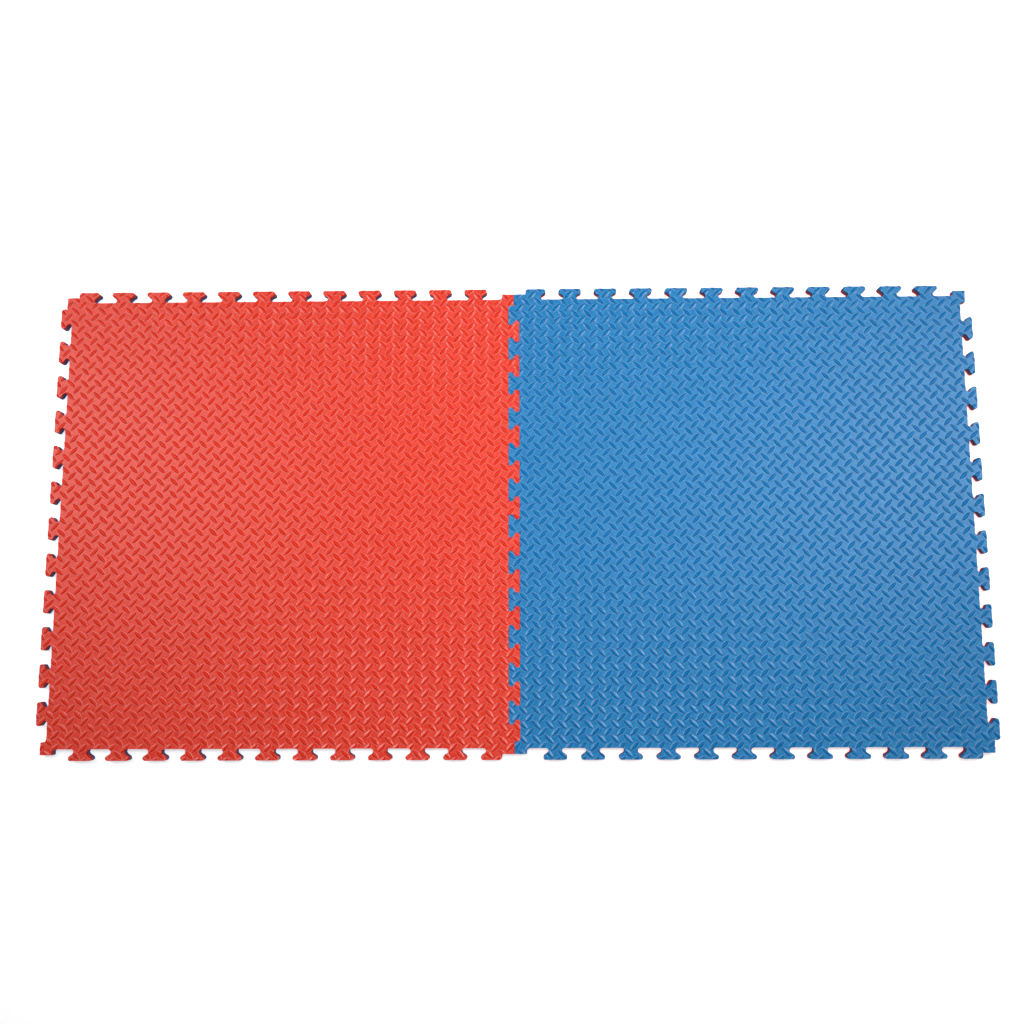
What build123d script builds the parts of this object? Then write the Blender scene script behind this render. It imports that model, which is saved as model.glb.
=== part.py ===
"""A pair of interlocking, reversible foam floor mats, joined edge to edge.

Millimetres.  +X runs along the pair, +Y away from the viewer, +Z up.  The origin is on the
floor, in the middle of the seam between the two mats.
"""

import os
from math import acos, degrees

from build123d import *

# driving dimensions
module = 1000.0  # one mat covers a square of this side once its tabs are meshed
sheet_thickness = 10.0  # each mat is two sheets of foam laminated face to face
tabs_per_side = 12
tab_pitch = 79.0  # from one tab to the next along a side
tab_depth = 24.0  # from the floor of a socket to the tip of a tab
lobe_radius = 5.5  # rounded corners of the tabs, and of the sockets that take them
block_tab_half = 19.9  # half width of the tab that stands against the corner block
block_corner_radius = 6.9  # its rounded corner on the side of the block
cutting_gap = 0.3  # left between the tabs of two meshed mats

# what follows from them
half_module = module / 2
half_depth = tab_depth / 2
first_tab = (module - (tabs_per_side - 0.5) * tab_pitch) / 2 - half_module
lobe_height = half_depth - lobe_radius
lobe_sweep = 180.0 - degrees(acos(2 * lobe_radius / (2 * lobe_height)))
rising_diagonal = Plane(origin=(0, 0, 0), z_dir=(1, -1, 0))
falling_diagonal = Plane(origin=(0, 0, 0), z_dir=(1, 1, 0))


def right_flank(centre):
    """The right-hand edge of a tab: round the lobe, across the neck, into the socket."""
    corner = centre + tab_pitch / 4
    lobe = CenterArc((corner, half_module + lobe_height), lobe_radius, 90, -lobe_sweep)
    root = CenterArc((corner, half_module - lobe_height), lobe_radius, 270, -lobe_sweep)
    Line(lobe @ 1, root @ 1)


def left_flank(centre):
    """The left-hand edge of a tab, the mirror image of the right-hand one."""
    corner = centre - tab_pitch / 4
    lobe = CenterArc((corner, half_module + lobe_height), lobe_radius, 90, lobe_sweep)
    root = CenterArc((corner, half_module - lobe_height), lobe_radius, 270, lobe_sweep)
    Line(lobe @ 1, root @ 1)


def back_side():
    """The mat's back side: corner block, tabs and sockets in turn, corner block."""
    tip = half_module + half_depth
    floor = half_module - half_depth
    last_tab = first_tab + (tabs_per_side - 1) * tab_pitch
    flat = tab_pitch / 4

    # the first tab stands against the left-hand corner block
    block_end = first_tab - block_tab_half
    Line((-half_module, half_module), (block_end, half_module))
    Line((block_end, half_module), (block_end, tip - block_corner_radius))
    CenterArc(
        (block_end + block_corner_radius, tip - block_corner_radius),
        block_corner_radius,
        180,
        -90,
    )
    Line((block_end + block_corner_radius, tip), (first_tab + flat, tip))

    # the tabs between, and the sockets on their left
    for number in range(1, tabs_per_side):
        centre = first_tab + number * tab_pitch
        right_flank(centre - tab_pitch)
        Line((centre - tab_pitch + flat, floor), (centre - flat, floor))
        left_flank(centre)
        Line((centre - flat, tip), (centre + flat, tip))
    right_flank(last_tab)

    # the last socket is closed by the right-hand corner block
    block_start = last_tab + tab_pitch / 2 + block_tab_half
    Line((last_tab + flat, floor), (block_start - block_corner_radius, floor))
    CenterArc(
        (block_start - block_corner_radius, floor + block_corner_radius),
        block_corner_radius,
        270,
        90,
    )
    Line((block_start, floor + block_corner_radius), (block_start, half_module))
    Line((block_start, half_module), (half_module, half_module))


# The outline all four sheets are cut to, about the middle of a mat.  It is its own mirror
# image about both diagonals, so a mat meshes with the next whichever of its faces is up.
with BuildSketch() as sheet_outline:
    with BuildLine():
        back_side()
        mirror(about=falling_diagonal)
        mirror(about=rising_diagonal)
    make_face()
    offset(amount=-cutting_gap / 2, kind=Kind.INTERSECTION, mode=Mode.REPLACE)


# left-hand mat: blue sheet on the floor
with BuildPart() as left_mat_blue_sheet:
    with BuildSketch(Plane.XY):
        with Locations((-half_module, 0)):
            add(sheet_outline.sketch)
    extrude(amount=sheet_thickness)
left_mat_blue_sheet.part.label = "left_mat_blue_sheet"

# left-hand mat: red sheet laminated on top of the blue one
with BuildPart() as left_mat_red_sheet:
    with BuildSketch(Plane.XY.offset(sheet_thickness)):
        with Locations((-half_module, 0)):
            add(sheet_outline.sketch)
    extrude(amount=sheet_thickness)
left_mat_red_sheet.part.label = "left_mat_red_sheet"

# right-hand mat, the same mat turned over: red sheet on the floor
with BuildPart() as right_mat_red_sheet:
    with BuildSketch(Plane.XY):
        with Locations((half_module, 0)):
            add(sheet_outline.sketch)
    extrude(amount=sheet_thickness)
right_mat_red_sheet.part.label = "right_mat_red_sheet"

# right-hand mat: blue sheet laminated on top of the red one
with BuildPart() as right_mat_blue_sheet:
    with BuildSketch(Plane.XY.offset(sheet_thickness)):
        with Locations((half_module, 0)):
            add(sheet_outline.sketch)
    extrude(amount=sheet_thickness)
right_mat_blue_sheet.part.label = "right_mat_blue_sheet"

os.makedirs("parts", exist_ok=True)
export_step(left_mat_blue_sheet.part, "parts/left_mat_blue_sheet.step")
export_step(left_mat_red_sheet.part, "parts/left_mat_red_sheet.step")
export_step(right_mat_red_sheet.part, "parts/right_mat_red_sheet.step")
export_step(right_mat_blue_sheet.part, "parts/right_mat_blue_sheet.step")
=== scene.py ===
from math import acos, cos, degrees, radians, sin

import bpy
import numpy as np
from mathutils import Euler, Matrix, Vector


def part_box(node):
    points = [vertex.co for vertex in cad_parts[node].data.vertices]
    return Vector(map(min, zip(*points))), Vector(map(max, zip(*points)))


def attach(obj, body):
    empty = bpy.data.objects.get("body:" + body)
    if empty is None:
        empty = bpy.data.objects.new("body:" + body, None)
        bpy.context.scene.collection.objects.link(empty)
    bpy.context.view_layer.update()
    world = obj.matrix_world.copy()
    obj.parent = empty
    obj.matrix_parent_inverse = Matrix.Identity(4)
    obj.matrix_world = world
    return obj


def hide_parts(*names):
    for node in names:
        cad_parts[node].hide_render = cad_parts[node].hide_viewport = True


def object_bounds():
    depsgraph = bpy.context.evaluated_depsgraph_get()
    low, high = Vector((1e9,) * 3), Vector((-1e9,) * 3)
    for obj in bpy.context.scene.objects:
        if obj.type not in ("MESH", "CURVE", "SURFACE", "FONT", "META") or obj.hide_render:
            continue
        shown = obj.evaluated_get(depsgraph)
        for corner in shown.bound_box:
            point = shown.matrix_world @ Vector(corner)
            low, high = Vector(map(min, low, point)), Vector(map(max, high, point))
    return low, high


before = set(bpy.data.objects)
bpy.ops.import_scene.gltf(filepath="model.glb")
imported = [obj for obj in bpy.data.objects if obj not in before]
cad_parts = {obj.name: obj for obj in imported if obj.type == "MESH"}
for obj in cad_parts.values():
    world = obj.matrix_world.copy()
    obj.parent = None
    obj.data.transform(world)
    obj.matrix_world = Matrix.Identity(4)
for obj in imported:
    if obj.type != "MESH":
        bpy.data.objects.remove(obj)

cad_low, cad_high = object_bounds()


# ---------------------------------------------------------------------------------------
# The cutting die.  Every sheet is stamped out by the same strip-steel die, bent into a
# closed jigsaw line: twelve dovetail tabs a side, the sockets that take them, and a plain
# block at each end of a side.  The stretch of line from one tab to the next is repeated.

module = 1.0             # one mat, once its tabs are meshed
tabs_per_side = 12
tab_pitch = 0.079
tab_depth = 0.024
corner_radius = 0.0055   # of a tab, and of the socket that takes it
cutting_gap = 0.0003     # left between the tabs of two meshed mats
inset = cutting_gap / 2
tab_radius = corner_radius - inset
socket_radius = corner_radius + inset
end_tab_half = 0.0199    # from the middle of the first tab to the block it stands against
end_radius = 0.0069
die_height = 0.03
die_drop = 0.01          # how far the die reaches below the back of the sheet
weld = 1e-6              # points of the die line nearer than this are one point

edge = module / 2 - inset
tab_tip = edge + tab_depth / 2
socket_floor = edge - tab_depth / 2
first_tab = (module - (tabs_per_side - 0.5) * tab_pitch) / 2 - module / 2
last_tab = first_tab + (tabs_per_side - 1) * tab_pitch


def bend(centre, radius, start, sweep, steps):
    """Points along one bent corner of the die line."""
    turns = [radians(start + sweep * k / steps) for k in range(steps + 1)]
    return [(centre[0] + radius * cos(t), centre[1] + radius * sin(t)) for t in turns]


def flank(middle):
    """Down the right-hand side of a tab: round its corner, over the neck, into the root."""
    corner = middle + tab_pitch / 4
    tab_centre = (corner, tab_tip - tab_radius)
    root_centre = (corner, socket_floor + socket_radius)
    apart = tab_centre[1] - root_centre[1]
    sweep = 180 - degrees(acos((tab_radius + socket_radius) / apart))
    steps = 12
    down = bend(tab_centre, tab_radius, 90, -sweep, steps)
    up = bend(root_centre, socket_radius, 270, -sweep, steps)
    return down + up[::-1]


def die_strip(name, points):
    """A stretch of the die line, as edges only."""
    strip = bpy.data.meshes.new(name)
    steps = [(k, k + 1) for k in range(len(points) - 1)]
    strip.from_pydata([(x, y, 0) for x, y in points], steps, [])
    return bpy.data.objects.new(name, strip)


right_flank = flank(0)
left_flank = [(tab_pitch - x, y) for x, y in right_flank[::-1]]
tab_to_tab = die_strip(
    "die_tab_to_tab",
    [(0, tab_tip)] + right_flank + left_flank + [(tab_pitch, tab_tip)])

end_steps = 8
block_end = first_tab - end_tab_half + inset
end_tab_centre = (block_end + end_radius - inset, tab_tip - end_radius + inset)
first_block = die_strip(
    "die_first_block",
    [(-edge, edge), (block_end, edge)]
    + bend(end_tab_centre, end_radius - inset, 180, -90, end_steps)
    + [(first_tab, tab_tip)])

# known fault: this wall stands one cutting gap too far out, so it touches the end tab of
# the next mat
block_start = last_tab + tab_pitch / 2 + end_tab_half - inset
end_root_centre = (block_start - end_radius - inset, socket_floor + end_radius + inset)
last_block = die_strip(
    "die_last_block",
    [(last_tab, tab_tip)]
    + flank(last_tab)
    + bend(end_root_centre, end_radius + inset, 270, 90, end_steps)
    + [(block_start, edge), (edge, edge)])


def add_node(tree, kind, values=None, **settings):
    """A node with its settings, and the values of its unlinked sockets."""
    made = tree.nodes.new(kind)
    for key, value in settings.items():
        setattr(made, key, value)
    for key, value in (values or {}).items():
        made.inputs[key].default_value = value
    return made


def chain(tree, geometry, *nodes):
    """Passes geometry through each node in turn."""
    for step in nodes:
        tree.links.new(geometry, step.inputs[0])
        geometry = step.outputs[0]
    return geometry


def join(tree, *parts):
    """Joins geometries."""
    joined = add_node(tree, "GeometryNodeJoinGeometry")
    for part in parts:
        tree.links.new(part, joined.inputs[0])
    return joined.outputs[0]


def new_tree(name, inputs):
    """A Geometry Nodes tree with named inputs and one geometry output."""
    tree = bpy.data.node_groups.new(name, "GeometryNodeTree")
    for label, kind, value in inputs:
        socket = tree.interface.new_socket(
            label, in_out="INPUT", socket_type="NodeSocket" + kind)
        if value is not None:
            socket.default_value = value
    tree.interface.new_socket(
        "Geometry", in_out="OUTPUT", socket_type="NodeSocketGeometry")
    return tree, tree.nodes.new("NodeGroupInput").outputs


die, given = new_tree("cutting_die", [
    ("Tab to tab", "Object", None),
    ("First block", "Object", None),
    ("Last block", "Object", None),
    ("Tabs", "Int", tabs_per_side),
    ("Pitch", "Float", tab_pitch),
    ("First tab", "Float", first_tab),
    ("Height", "Float", die_height),
])
strips = []
for label in ("Tab to tab", "First block", "Last block"):
    picked = add_node(die, "GeometryNodeObjectInfo")
    die.links.new(given[label], picked.inputs["Object"])
    strips.append(picked.outputs["Geometry"])
start = add_node(die, "ShaderNodeCombineXYZ")
step = add_node(die, "ShaderNodeCombineXYZ")
stretches = add_node(die, "ShaderNodeMath", {1: 1.0}, operation="SUBTRACT")
row = add_node(die, "GeometryNodeMeshLine")
repeat = add_node(die, "GeometryNodeInstanceOnPoints")
die.links.new(given["First tab"], start.inputs["X"])
die.links.new(given["Pitch"], step.inputs["X"])
die.links.new(given["Tabs"], stretches.inputs[0])
die.links.new(stretches.outputs[0], row.inputs["Count"])
die.links.new(start.outputs[0], row.inputs["Start Location"])
die.links.new(step.outputs[0], row.inputs["Offset"])
die.links.new(row.outputs[0], repeat.inputs["Points"])
die.links.new(strips[0], repeat.inputs["Instance"])
die_line = chain(
    die, join(die, repeat.outputs[0], strips[1], strips[2]),
    add_node(die, "GeometryNodeRealizeInstances"))
for quarter in (90, -90):   # mirrored over one diagonal of the mat, then over the other
    mirrored = add_node(
        die, "GeometryNodeTransform",
        {"Scale": (-1, 1, 1), "Rotation": Euler((0, 0, radians(quarter)))})
    die_line = join(die, die_line, chain(die, die_line, mirrored))
outline = chain(
    die, die_line,
    add_node(die, "GeometryNodeMergeByDistance", {"Distance": weld}),
    add_node(die, "GeometryNodeMeshToCurve"),
    add_node(die, "GeometryNodeFillCurve", mode="NGONS"))
raised = add_node(die, "GeometryNodeExtrudeMesh", {"Individual": False})
die.links.new(outline, raised.inputs["Mesh"])
die.links.new(given["Height"], raised.inputs["Offset Scale"])
underside = chain(die, outline, add_node(die, "GeometryNodeFlipFaces"))
block = chain(
    die, join(die, raised.outputs["Mesh"], underside),
    add_node(die, "GeometryNodeMergeByDistance", {"Distance": weld}),
    add_node(die, "GeometryNodeTransform", {"Translation": (0, 0, -die_drop)}))
die.links.new(block, add_node(die, "NodeGroupOutput").inputs[0])


# ---------------------------------------------------------------------------------------
# The embossing.  The warm foam passes under a steel roller engraved with rows of leaves,
# each row leaning against the next, so each leaf stands up out of the skin with soft
# shoulders.  The pattern runs on over the whole roll, and the die cuts through it.

leaf_length = 0.0280
leaf_width = 0.0088
leaf_height = 0.0013
leaf_fullness = 2.4      # the higher, the blunter the two ends of a leaf
crest_reach = 0.2        # of the length, from the middle of a leaf to each end of its crest
sheet_thickness = 0.010  # over the leaves
ground = sheet_thickness - leaf_height
wall_limit = 0.1         # a face whose normal rises less than this is a cut wall

# each ring of the leaf: share of the length, share of the width, height above the skin;
# the lowest one is sunk in the sheet
leaf_rings = [
    (1.00, 1.38, -0.6 * leaf_height),
    (1.00, 1.38, 0.0),
    (0.97, 1.02, 0.13 * leaf_height),
    (0.90, 0.68, 0.76 * leaf_height),
    (0.78, 0.35, 0.97 * leaf_height)]
along_outline = (1.0, 0.62, 0.0, -0.62)
corners, sides = [], []
for long_share, wide_share, height in leaf_rings:
    half = leaf_length / 2 * long_share
    belly = leaf_width / 2 * wide_share
    swell = [belly * (1 - abs(t) ** leaf_fullness) for t in along_outline]
    corners += [(half * t, w, height) for t, w in zip(along_outline, swell)]
    corners += [(-half * t, -w, height) for t, w in zip(along_outline, swell)]
count = 2 * len(along_outline)
for ring in range(len(leaf_rings) - 1):
    for k in range(count):
        a, b = ring * count + k, ring * count + (k + 1) % count
        sides.append((a, b, b + count, a + count))
top = (len(leaf_rings) - 1) * count
crest = len(corners)
corners += [(x * leaf_length, 0, leaf_height) for x in (crest_reach, -crest_reach)]
nearest_crest = (0, 0, 0, 1, 1, 1, 1, 0)   # for each corner of the top ring
for k in range(count):
    after = (k + 1) % count
    low, high = nearest_crest[k], nearest_crest[after]
    face = [top + k, top + after, crest + high]
    sides.append(face if low == high else face + [crest + low])
sides.append(list(range(count))[::-1])
leaf_mesh = bpy.data.meshes.new("leaf")
leaf_mesh.from_pydata(corners, [], sides)
leaf = bpy.data.objects.new("leaf", leaf_mesh)

rolled, given = new_tree("rolled_and_cut_sheet", [
    ("Leaf", "Object", None),
    ("Tab to tab", "Object", None),
    ("First block", "Object", None),
    ("Last block", "Object", None),
    ("First leaf", "Vector", (0, 0, 0)),
    ("Along", "Vector", (0.030, 0, 0)),
    ("Across", "Vector", (0, 0.0277, 0)),
    ("Leaves along", "Int", 40),    # enough to run past the die on every side
    ("Leaves across", "Int", 42),
    ("Lean", "Float", radians(44)),
    ("Counter lean", "Float", radians(-44)),
    ("Ground", "Float", ground),
    ("Skin", "Material", None),
    ("Cut foam", "Material", None),
])
die_cut = add_node(rolled, "GeometryNodeGroup", node_tree=die)
for label in ("Tab to tab", "First block", "Last block"):
    rolled.links.new(given[label], die_cut.inputs[label])

# a run of leaves along the roll, and that run again and again across it
run = add_node(rolled, "GeometryNodeMeshLine")
runs = add_node(rolled, "GeometryNodeMeshLine")
places = add_node(rolled, "GeometryNodeInstanceOnPoints")
rolled.links.new(given["Leaves along"], run.inputs["Count"])
rolled.links.new(given["Along"], run.inputs["Offset"])
rolled.links.new(given["First leaf"], run.inputs["Start Location"])
rolled.links.new(given["Leaves across"], runs.inputs["Count"])
rolled.links.new(given["Across"], runs.inputs["Offset"])
rolled.links.new(run.outputs[0], places.inputs["Points"])
rolled.links.new(runs.outputs[0], places.inputs["Instance"])
grid = chain(rolled, places.outputs[0], add_node(rolled, "GeometryNodeRealizeInstances"))

# one leaf on every place of the grid, and one leaning the other way between each four
picked = add_node(rolled, "GeometryNodeObjectInfo")
rolled.links.new(given["Leaf"], picked.inputs["Object"])
lift = add_node(rolled, "ShaderNodeCombineXYZ")
rolled.links.new(given["Ground"], lift.inputs["Z"])
half_step = add_node(rolled, "ShaderNodeVectorMath", operation="ADD")
rolled.links.new(given["Along"], half_step.inputs[0])
rolled.links.new(given["Across"], half_step.inputs[1])
half_way = add_node(
    rolled, "ShaderNodeVectorMath", {1: (0.5, 0.5, 0.5)}, operation="MULTIPLY")
rolled.links.new(half_step.outputs[0], half_way.inputs[0])
leaves = []
for label, moved in (("Lean", None), ("Counter lean", half_way.outputs[0])):
    points = grid
    if moved is not None:
        shifted = add_node(rolled, "GeometryNodeTransform")
        rolled.links.new(moved, shifted.inputs["Translation"])
        points = chain(rolled, grid, shifted)
    turn = add_node(rolled, "ShaderNodeCombineXYZ")
    rolled.links.new(given[label], turn.inputs["Z"])
    stood = add_node(rolled, "GeometryNodeInstanceOnPoints")
    rolled.links.new(points, stood.inputs["Points"])
    rolled.links.new(picked.outputs["Geometry"], stood.inputs["Instance"])
    rolled.links.new(turn.outputs[0], stood.inputs["Rotation"])
    leaves.append(stood.outputs[0])
raised_leaves = add_node(rolled, "GeometryNodeTransform")
rolled.links.new(lift.outputs[0], raised_leaves.inputs["Translation"])
all_leaves = chain(
    rolled, join(rolled, *leaves), add_node(rolled, "GeometryNodeRealizeInstances"),
    raised_leaves)

# the plain foam, wider than the die, with its upper face at ground level
slab_width = 1.5
slab_size = add_node(rolled, "ShaderNodeCombineXYZ", {"X": slab_width, "Y": slab_width})
rolled.links.new(given["Ground"], slab_size.inputs["Z"])
half_up = add_node(rolled, "ShaderNodeVectorMath", {1: (0, 0, 0.5)}, operation="MULTIPLY")
rolled.links.new(slab_size.outputs[0], half_up.inputs[0])
slab = add_node(rolled, "GeometryNodeMeshCube")
rolled.links.new(slab_size.outputs[0], slab.inputs["Size"])
on_table = add_node(rolled, "GeometryNodeTransform")
rolled.links.new(half_up.outputs[0], on_table.inputs["Translation"])
plain_foam = chain(rolled, slab.outputs["Mesh"], on_table)

embossed = add_node(
    rolled, "GeometryNodeMeshBoolean", operation="UNION", solver="MANIFOLD")
rolled.links.new(plain_foam, embossed.inputs["Mesh 2"])
rolled.links.new(all_leaves, embossed.inputs["Mesh 2"])
stamped = add_node(
    rolled, "GeometryNodeMeshBoolean", operation="INTERSECT", solver="MANIFOLD")
rolled.links.new(embossed.outputs["Mesh"], stamped.inputs["Mesh 2"])
rolled.links.new(die_cut.outputs[0], stamped.inputs["Mesh 2"])

# skin on the faces that lie flat or slope, cut foam on the upright walls
facing = add_node(rolled, "GeometryNodeInputNormal")
facing_z = add_node(rolled, "ShaderNodeSeparateXYZ")
steep = add_node(rolled, "ShaderNodeMath", operation="ABSOLUTE")
is_wall = add_node(
    rolled, "FunctionNodeCompare", {1: wall_limit}, operation="LESS_THAN")
rolled.links.new(facing.outputs[0], facing_z.inputs[0])
rolled.links.new(facing_z.outputs["Z"], steep.inputs[0])
rolled.links.new(steep.outputs[0], is_wall.inputs[0])
skinned = add_node(rolled, "GeometryNodeSetMaterial")
rolled.links.new(given["Skin"], skinned.inputs["Material"])
walled = add_node(rolled, "GeometryNodeSetMaterial")
rolled.links.new(given["Cut foam"], walled.inputs["Material"])
rolled.links.new(is_wall.outputs[0], walled.inputs["Selection"])
finished = chain(
    rolled, stamped.outputs["Mesh"], add_node(rolled, "GeometryNodeRealizeInstances"),
    skinned, walled)
rolled.links.new(finished, add_node(rolled, "NodeGroupOutput").inputs[0])


# ---------------------------------------------------------------------------------------
# Foam skins.  Closed-cell EVA with the smooth, slightly waxy skin that the hot roller
# leaves, finely pebbled between the leaves.  Where the die cuts it, the foam is matte and
# shows its cells.


def skin_material(name, ground_colour, grain_colour, painted_highlight_rim_colour, crown_colour, painted_shade_side_colour):
    """The rolled skin of one sheet.  The ground is pebbled and hazy, and the crowns of the
    leaves, which the roller presses smooth, keep more of the foam's full colour.  A paler rim
    round the foot of each leaf is a painted highlight, and the sides of the leaves are painted
    darker as painted shade."""
    made = bpy.data.materials.new(name)
    made.use_nodes = True
    tree = made.node_tree
    shader = tree.nodes["Principled BSDF"]
    place = add_node(tree, "ShaderNodeTexCoord")
    cloudy = add_node(
        tree, "ShaderNodeTexNoise", {"Scale": 9.0, "Detail": 3.0, "Roughness": 0.55})
    grain = add_node(
        tree, "ShaderNodeTexNoise", {"Scale": 200.0, "Detail": 2.0, "Roughness": 0.5})
    for texture in (cloudy, grain):
        tree.links.new(place.outputs["Object"], texture.inputs["Vector"])

    def blend_colours(share, first, second):
        """Two colours, or the outputs of two nodes, mixed by a share."""
        mixed = add_node(tree, "ShaderNodeMix", data_type="RGBA")
        tree.links.new(share, mixed.inputs[0])
        for socket, colour in ((mixed.inputs[6], first), (mixed.inputs[7], second)):
            if isinstance(colour, tuple):
                socket.default_value = (*colour, 1)
            else:
                tree.links.new(colour, socket)
        return mixed.outputs[2]

    def between(value, low, high, start=0.0, end=1.0):
        """A value's place between two limits, as a share."""
        ranged = add_node(tree, "ShaderNodeMapRange", {1: low, 2: high, 3: start, 4: end})
        tree.links.new(value, ranged.inputs[0])
        return ranged.outputs[0]

    def size_of(value, less=0.0):
        """How far a value is from a level, up or down."""
        shifted = add_node(tree, "ShaderNodeMath", {1: less}, operation="SUBTRACT")
        size = add_node(tree, "ShaderNodeMath", operation="ABSOLUTE")
        tree.links.new(value, shifted.inputs[0])
        tree.links.new(shifted.outputs[0], size.inputs[0])
        return size.outputs[0]

    spot = add_node(tree, "ShaderNodeSeparateXYZ")
    facing = add_node(tree, "ShaderNodeSeparateXYZ")
    tree.links.new(place.outputs["Object"], spot.inputs[0])
    tree.links.new(place.outputs["Normal"], facing.inputs[0])

    # how far out from the lamination the point lies, and how its face slopes there
    height = size_of(spot.outputs["Z"], sheet_thickness)
    # the foot of each leaf, where a painted highlight makes a paler rim
    painted_rim_highlight_mask = between(height, ground + 0.01 * leaf_height, ground + 0.06 * leaf_height)
    on_leaf = between(height, ground + 0.12 * leaf_height, ground + 0.20 * leaf_height)
    flatness = size_of(facing.outputs["Z"])
    # the steep sides of the leaves, which are painted darker as painted shade
    painted_side_shade_mask = between(flatness, 0.995, 0.95)

    # colour: pebbled ground, a paler rim round the foot of each leaf that is a painted
    # highlight, a full crown, and sides painted darker as painted shade
    pebbled = between(grain.outputs["Fac"], 0.38, 0.66)
    pebbles = blend_colours(pebbled, ground_colour, grain_colour)
    patchy = between(cloudy.outputs["Fac"], 0.3, 0.7, 0.0, 0.22)
    worn = blend_colours(patchy, pebbles, crown_colour)
    with_painted_rim_highlight = blend_colours(painted_rim_highlight_mask, worn, painted_highlight_rim_colour)
    leaf_colour_with_painted_shade = blend_colours(painted_side_shade_mask, crown_colour, painted_shade_side_colour)
    tree.links.new(blend_colours(on_leaf, with_painted_rim_highlight, leaf_colour_with_painted_shade), shader.inputs["Base Color"])

    # sheen: hazy on the ground, dull on the crowns, glossy on the sides of the leaves
    gloss = add_node(tree, "ShaderNodeMix", {2: 0.5})
    tree.links.new(on_leaf, gloss.inputs[0])
    tree.links.new(between(flatness, 0.985, 0.95, 0.08, 0.9), gloss.inputs[3])
    tree.links.new(gloss.outputs[0], shader.inputs["Specular IOR Level"])
    roughness = add_node(tree, "ShaderNodeMath", operation="MULTIPLY")
    tree.links.new(between(grain.outputs["Fac"], 0.3, 0.7, 0.32, 0.46), roughness.inputs[0])
    tree.links.new(between(on_leaf, 0, 1, 1.0, 0.5), roughness.inputs[1])
    tree.links.new(roughness.outputs[0], shader.inputs["Roughness"])
    pebble = add_node(tree, "ShaderNodeBump", {"Strength": 0.35, "Distance": 0.0010})
    tree.links.new(grain.outputs["Fac"], pebble.inputs["Height"])
    tree.links.new(pebble.outputs[0], shader.inputs["Normal"])
    return made


def cut_foam_material(name, colour, deep):
    """The die-cut wall of one sheet, matte and open-pored."""
    made = bpy.data.materials.new(name)
    made.use_nodes = True
    tree = made.node_tree
    shader = tree.nodes["Principled BSDF"]
    shader.inputs["Roughness"].default_value = 0.85
    shader.inputs["Specular IOR Level"].default_value = 0.3
    place = add_node(tree, "ShaderNodeTexCoord")
    cells = add_node(tree, "ShaderNodeTexVoronoi", {"Scale": 1500.0})
    tree.links.new(place.outputs["Object"], cells.inputs["Vector"])
    tint = add_node(tree, "ShaderNodeMix", data_type="RGBA")
    tint.inputs[6].default_value = (*deep, 1)
    tint.inputs[7].default_value = (*colour, 1)
    tree.links.new(cells.outputs["Distance"], tint.inputs["Factor"])
    tree.links.new(tint.outputs[2], shader.inputs["Base Color"])
    pores = add_node(tree, "ShaderNodeBump", {"Strength": 0.5, "Distance": 0.0003})
    tree.links.new(cells.outputs["Distance"], pores.inputs["Height"])
    tree.links.new(pores.outputs[0], shader.inputs["Normal"])
    return made


# for each skin, the rim colour is a painted highlight and the side colour is painted shade
red_skin = skin_material(
    "red_foam_skin", ground_colour=(0.83, 0.028, 0.010), grain_colour=(0.91, 0.096, 0.066),
    painted_highlight_rim_colour=(0.97, 0.230, 0.165), crown_colour=(0.88, 0.046, 0.015),
    painted_shade_side_colour=(0.70, 0.002, 0.001))
blue_skin = skin_material(
    "blue_foam_skin", ground_colour=(0.001, 0.192, 0.485), grain_colour=(0.036, 0.275, 0.580),
    painted_highlight_rim_colour=(0.15, 0.39, 0.72), crown_colour=(0.002, 0.205, 0.510),
    painted_shade_side_colour=(0.0, 0.112, 0.355))
red_cut = cut_foam_material("red_foam_cut", (0.46, 0.020, 0.012), (0.32, 0.010, 0.006))
blue_cut = cut_foam_material("blue_foam_cut", (0.012, 0.075, 0.24), (0.006, 0.045, 0.16))


# ---------------------------------------------------------------------------------------
# The two mats.  A mat is a red sheet and a blue sheet of EVA foam, heat-laminated back to
# back before cutting, so it can be laid either way up.  The left one lies red side up and
# the right one blue side up, and their tabs mesh along the middle.

left_low, left_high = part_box("left_mat_red_sheet")
right_low, right_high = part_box("right_mat_blue_sheet")
left_centre = (left_low.x + left_high.x) / 2
right_centre = (right_low.x + right_high.x) / 2
roll_margin = 0.53       # from a mat's middle back to about the roller's first leaf
level_limit = 0.9999     # a face whose normal rises more than this is level
sharp_edge = radians(35)


def soften(sheet):
    """Level skin shades level, leaves shade round, and cut walls shade round their bends."""
    faces = len(sheet.polygons)
    loops = len(sheet.loops)
    normals = np.zeros(faces * 3, np.float32)
    areas = np.zeros(faces, np.float32)
    totals = np.zeros(faces, np.int32)
    corner_of = np.zeros(loops, np.int32)
    sheet.polygons.foreach_get("normal", normals)
    sheet.polygons.foreach_get("area", areas)
    sheet.polygons.foreach_get("loop_total", totals)
    sheet.loops.foreach_get("vertex_index", corner_of)
    normals = normals.reshape(-1, 3)
    face_of = np.repeat(np.arange(faces), totals)
    shaded = normals[face_of].copy()
    sideways = np.abs(normals[:, 2]) < wall_limit
    level = np.abs(normals[:, 2]) > level_limit
    for chosen in (sideways, ~sideways & ~level):
        here = chosen[face_of]
        summed = np.zeros((len(sheet.vertices), 3))
        np.add.at(summed, corner_of[here], (normals * areas[:, None])[face_of[here]])
        length = np.linalg.norm(summed, axis=1, keepdims=True)
        mean = (summed / np.maximum(length, 1e-20))[corner_of]
        close = np.einsum("ij,ij->i", mean, normals[face_of]) > cos(sharp_edge)
        shaded[here & close] = mean[here & close]
    sheet.polygons.foreach_set("use_smooth", np.ones(faces, bool))
    sheet.normals_split_custom_set(shaded.tolist())


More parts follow.
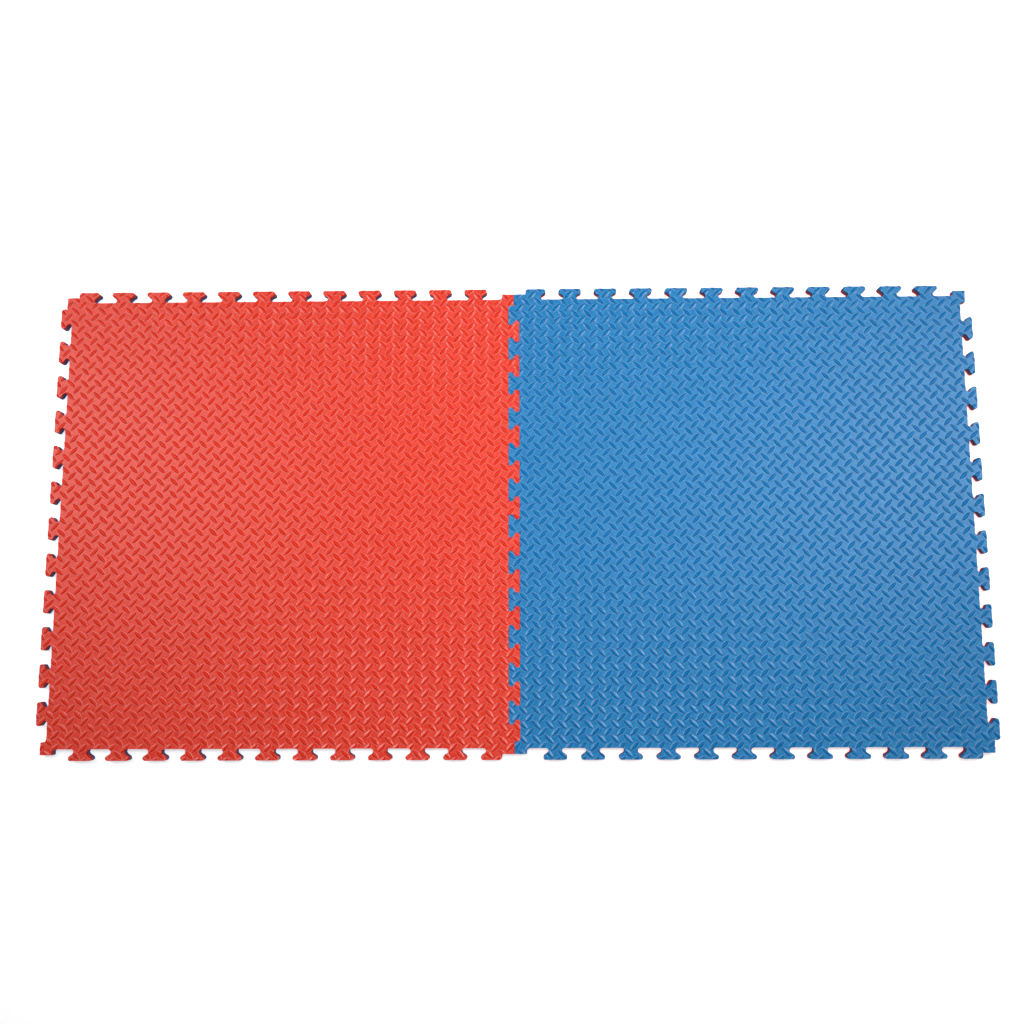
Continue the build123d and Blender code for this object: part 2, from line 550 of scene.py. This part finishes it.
def stamp_sheet(name, roll, skin, cut_foam):
    """Stamps one sheet of foam: its flat back at zero, its leaves up."""
    stamp = bpy.data.objects.new(name + "_stamp", bpy.data.meshes.new(name + "_stamp"))
    pressed = stamp.modifiers.new("stamp", "NODES")
    pressed.node_group = rolled
    values = {
        "Leaf": leaf, "Tab to tab": tab_to_tab, "First block": first_block,
        "Last block": last_block, "Skin": skin, "Cut foam": cut_foam, **roll}
    for item in rolled.interface.items_tree:
        if item.in_out == "INPUT" and item.name in values:
            pressed[item.identifier] = values[item.name]
    bpy.context.scene.collection.objects.link(stamp)
    graph = bpy.context.evaluated_depsgraph_get()
    mesh = bpy.data.meshes.new_from_object(stamp.evaluated_get(graph))
    bpy.data.objects.remove(stamp)
    return mesh


def lay_sheet(name, stamped, turned, centre):
    """Lays a stamped sheet in its mat: an upper one as it is, an under one turned over."""
    mesh = stamped.copy()
    mesh.name = name
    if turned:
        mesh.transform(Matrix(((0, -1, 0, 0), (-1, 0, 0, 0), (0, 0, -1, 0), (0, 0, 0, 1))))
    mesh.transform(Matrix.Translation((centre, 0, sheet_thickness)))
    soften(mesh)
    sheet = bpy.data.objects.new(name, mesh)
    bpy.context.scene.collection.objects.link(sheet)
    return sheet


def roll_pattern(counts, first, centre, leans):
    """The roller's settings for one sheet, from its leaves per metre, the place of one of
    its leaves, and the two slants of the leaves."""
    steps = np.linalg.inv(np.array(counts))
    first = np.array(first) - (centre, 0)
    skipped = np.floor(np.array(counts) @ (first + roll_margin))
    first = first - steps @ skipped
    return {
        "Along": Vector((*steps[:, 0], 0)), "Across": Vector((*steps[:, 1], 0)),
        "First leaf": Vector((*first, 0)),
        "Lean": radians(leans[0]), "Counter lean": radians(leans[1])}


def leaf_place(counts, offset, wanted):
    """Where a roller's leaf stands, from its place in the repeat."""
    return np.linalg.solve(np.array(counts), np.array(wanted) - offset)


red_counts = ((33.321, -0.125), (0.012, 36.122))
blue_counts = ((36.360, -0.325), (-0.137, 33.558))
red_first = leaf_place(red_counts, (0.240, 0.076), (0.5, 0.0))
blue_first = leaf_place(blue_counts, (0.1935, 0.2635), (0.485, -0.015))
red_leans = (-43.3, 46.0)
blue_leans = (44.0, -44.0)

red_sheet = stamp_sheet(
    "red_sheet", roll_pattern(red_counts, red_first, left_centre, red_leans),
    red_skin, red_cut)
blue_sheet = stamp_sheet(
    "blue_sheet", roll_pattern(blue_counts, blue_first, right_centre, blue_leans),
    blue_skin, blue_cut)

for name, stamped, turned, centre, body, node, slot in (
    ("left_red_foam", red_sheet, False, left_centre,
     "left_mat", "left_mat_red_sheet", "red_foam"),
    ("left_blue_foam", blue_sheet, True, left_centre,
     "left_mat", "left_mat_blue_sheet", "blue_foam"),
    ("right_blue_foam", blue_sheet, False, right_centre,
     "right_mat", "right_mat_blue_sheet", "blue_foam"),
    ("right_red_foam", red_sheet, True, right_centre,
     "right_mat", "right_mat_red_sheet", "red_foam"),
):
    sheet = lay_sheet(name, stamped, turned, centre)
    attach(sheet, body)
    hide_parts(node)


# ---------------------------------------------------------------------------------------
# The studio.  A plain white floor, soft light from large boxes, and a camera looking down
# on the two mats from just in front of their middle.

floor_half = 9
floor_clearance = 0.0002   # keeps the floor out of the plane of the undersides
floor_mesh = bpy.data.meshes.new("floor")
floor_mesh.from_pydata(
    [(x * floor_half, y * floor_half, 0) for x, y in ((-1, -1), (1, -1), (1, 1), (-1, 1))],
    [], [(0, 1, 2, 3)])
floor = bpy.data.objects.new("floor", floor_mesh)
bpy.context.scene.collection.objects.link(floor)
floor.location.z = cad_low.z - floor_clearance
paper = bpy.data.materials.new("white_floor")
paper.use_nodes = True
paper_shader = paper.node_tree.nodes["Principled BSDF"]
paper_shader.inputs["Base Color"].default_value = (0.95, 0.95, 0.95, 1)
paper_shader.inputs["Roughness"].default_value = 0.9
paper_shader.inputs["Specular IOR Level"].default_value = 0.1
paper_shader.inputs["Emission Color"].default_value = (1, 1, 1, 1)
paper_shader.inputs["Emission Strength"].default_value = 0.55
floor_mesh.materials.append(paper)

world = bpy.data.worlds.new("studio")
bpy.context.scene.world = world
world.use_nodes = True
world.node_tree.nodes["Background"].inputs["Color"].default_value = (1, 1, 1, 1)
world.node_tree.nodes["Background"].inputs["Strength"].default_value = 0.08


def softbox(name, place, target, width, height, power, spread=180):
    """A large soft lamp that looks at a point."""
    lamp = bpy.data.lights.new(name, "AREA")
    lamp.shape = "RECTANGLE"
    lamp.size, lamp.size_y = width, height
    lamp.energy = power
    lamp.spread = radians(spread)
    lit = bpy.data.objects.new(name, lamp)
    bpy.context.scene.collection.objects.link(lit)
    lit.location = place
    aim = Vector(target) - Vector(place)
    lit.rotation_euler = aim.to_track_quat("-Z", "Y").to_euler()
    return lit


softbox("box_left", (-1.55, 0.45, 1.7), (-0.4, 0, 0), width=0.9, height=1.4, power=14.7)
softbox("box_right", (1.50, 0.42, 1.7), (0.4, 0, 0), width=0.9, height=1.4, power=15.7)
softbox("box_far_left", (-3.4, 0.6, 2.1), (0, 0, 0), width=1.8, height=2.2, power=10)
softbox("box_far_right", (3.4, 0.6, 2.1), (0, 0, 0), width=1.8, height=2.2, power=10)
# the lamp over the middle is kept out of the mats' sheen
overhead = softbox(
    "box_over", (0.2, 0.45, 3.0), (0.15, 0.2, 0), width=1.4, height=1.4, power=8.8, spread=70)
overhead.visible_glossy = False

camera_data = bpy.data.cameras.new("camera")
camera = bpy.data.objects.new("camera", camera_data)
bpy.context.scene.collection.objects.link(camera)
camera_data.sensor_width = 36.0
camera_data.lens = 35.297
camera_data.shift_x = -0.01599
camera_data.shift_y = -0.01016
camera_data.clip_start, camera_data.clip_end = 0.05, 50
camera.location = (0.0594, -0.2717, 2.1506 + cad_high.z)
camera.rotation_euler = Euler([radians(a) for a in (8.0593, 0.7916, -0.2305)])
bpy.context.scene.camera = camera
bpy.context.scene.view_settings.view_transform = "Standard"
